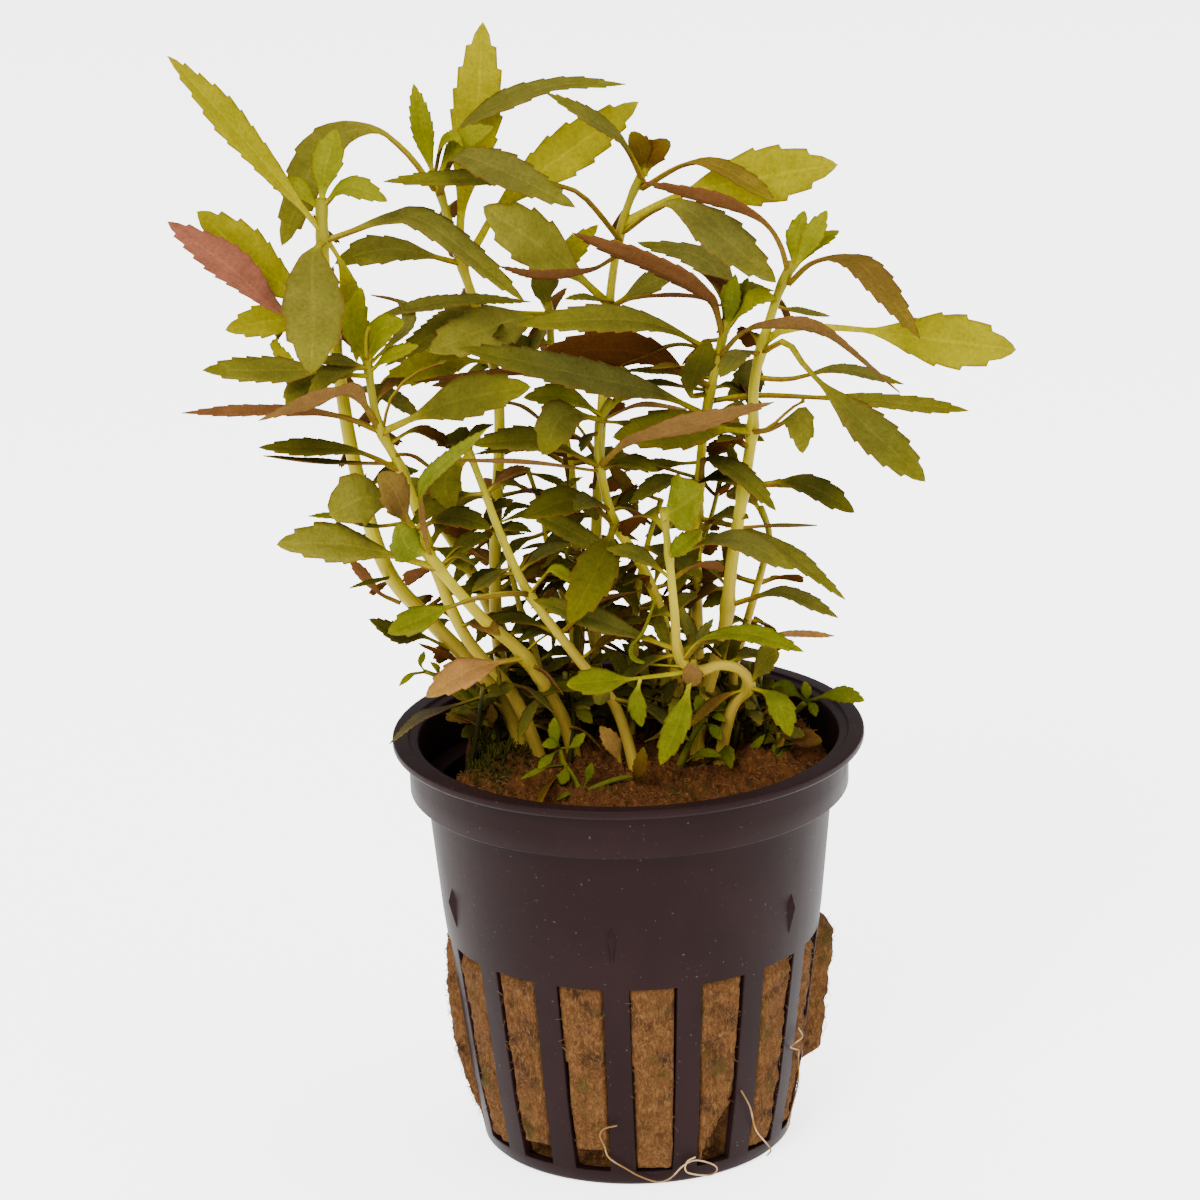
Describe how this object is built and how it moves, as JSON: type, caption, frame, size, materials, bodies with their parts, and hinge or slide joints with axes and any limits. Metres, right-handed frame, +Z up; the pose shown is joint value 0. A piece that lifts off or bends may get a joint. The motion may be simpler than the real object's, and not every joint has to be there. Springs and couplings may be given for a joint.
{
  "type": "potted limnophila hippuridoides",
  "caption": "Bunch of leafy aquarium plant stems rooted in a rockwool plug inside a slotted round net pot, free standing on its flat underside",
  "frame": {"origin": "centre of the pot's flat underside, on the surface that it stands on", "axes": "+Z up along the pot's axis, -Y is the front seen in the picture, +X to the right of that view"},
  "size_m": [0.0946, 0.055, 0.1346],
  "materials": {
    "pot_plastic": "satin dark plum-grey moulded plastic with fine specks",
    "rockwool_fibre": "damp brown mineral wool, fibrous and matte",
    "stem_green": "smooth pale yellow-green living stem, waxy",
    "leaf_green": "soft olive green living leaf, maroon below, slightly waxy"
  },
  "bodies": {
    "root": {"pot": "pot_plastic", "rockwool": "rockwool_fibre", "stem_a": "stem_green", "stem_b": "stem_green", "stem_c": "stem_green", "stem_d": "stem_green", "stem_e": "stem_green", "stem_f": "stem_green", "stem_g": "stem_green", "stem_h": "stem_green", "stem_i": "stem_green", "stem_j": "stem_green", "stem_k": "stem_green", "stem_l": "stem_green", "stem_n": "stem_green", "leaf_a1": "leaf_green", "leaf_a2": "leaf_green", "leaf_a3": "leaf_green", "leaf_a4": "leaf_green", "leaf_a5": "leaf_green", "leaf_b1": "leaf_green", "leaf_b2": "leaf_green", "leaf_b3": "leaf_green", "leaf_b4": "leaf_green", "leaf_b6": "leaf_green", "leaf_b7": "leaf_green", "leaf_b9": "leaf_green", "leaf_c2": "leaf_green", "leaf_c4": "leaf_green", "leaf_c5": "leaf_green", "leaf_c6": "leaf_green", "leaf_d1": "leaf_green", "leaf_d2": "leaf_green", "leaf_d3": "leaf_green", "leaf_d7": "leaf_green", "leaf_d8": "leaf_green", "leaf_e1": "leaf_green", "leaf_e2": "leaf_green", "leaf_e3": "leaf_green", "leaf_e4": "leaf_green", "leaf_e5": "leaf_green", "leaf_e6": "leaf_green", "leaf_e9": "leaf_green", "leaf_f1": "leaf_green", "leaf_f4": "leaf_green", "leaf_f6": "leaf_green", "leaf_f8": "leaf_green", "leaf_f9": "leaf_green", "leaf_h1": "leaf_green", "leaf_h3": "leaf_green", "leaf_h6": "leaf_green", "leaf_h7": "leaf_green", "leaf_i1": "leaf_green", "leaf_i5": "leaf_green", "leaf_i6": "leaf_green", "leaf_i7": "leaf_green", "leaf_j1": "leaf_green", "leaf_i4": "leaf_green", "leaf_k1": "leaf_green", "leaf_old": "leaf_green"}
  },
  "joints": []
}
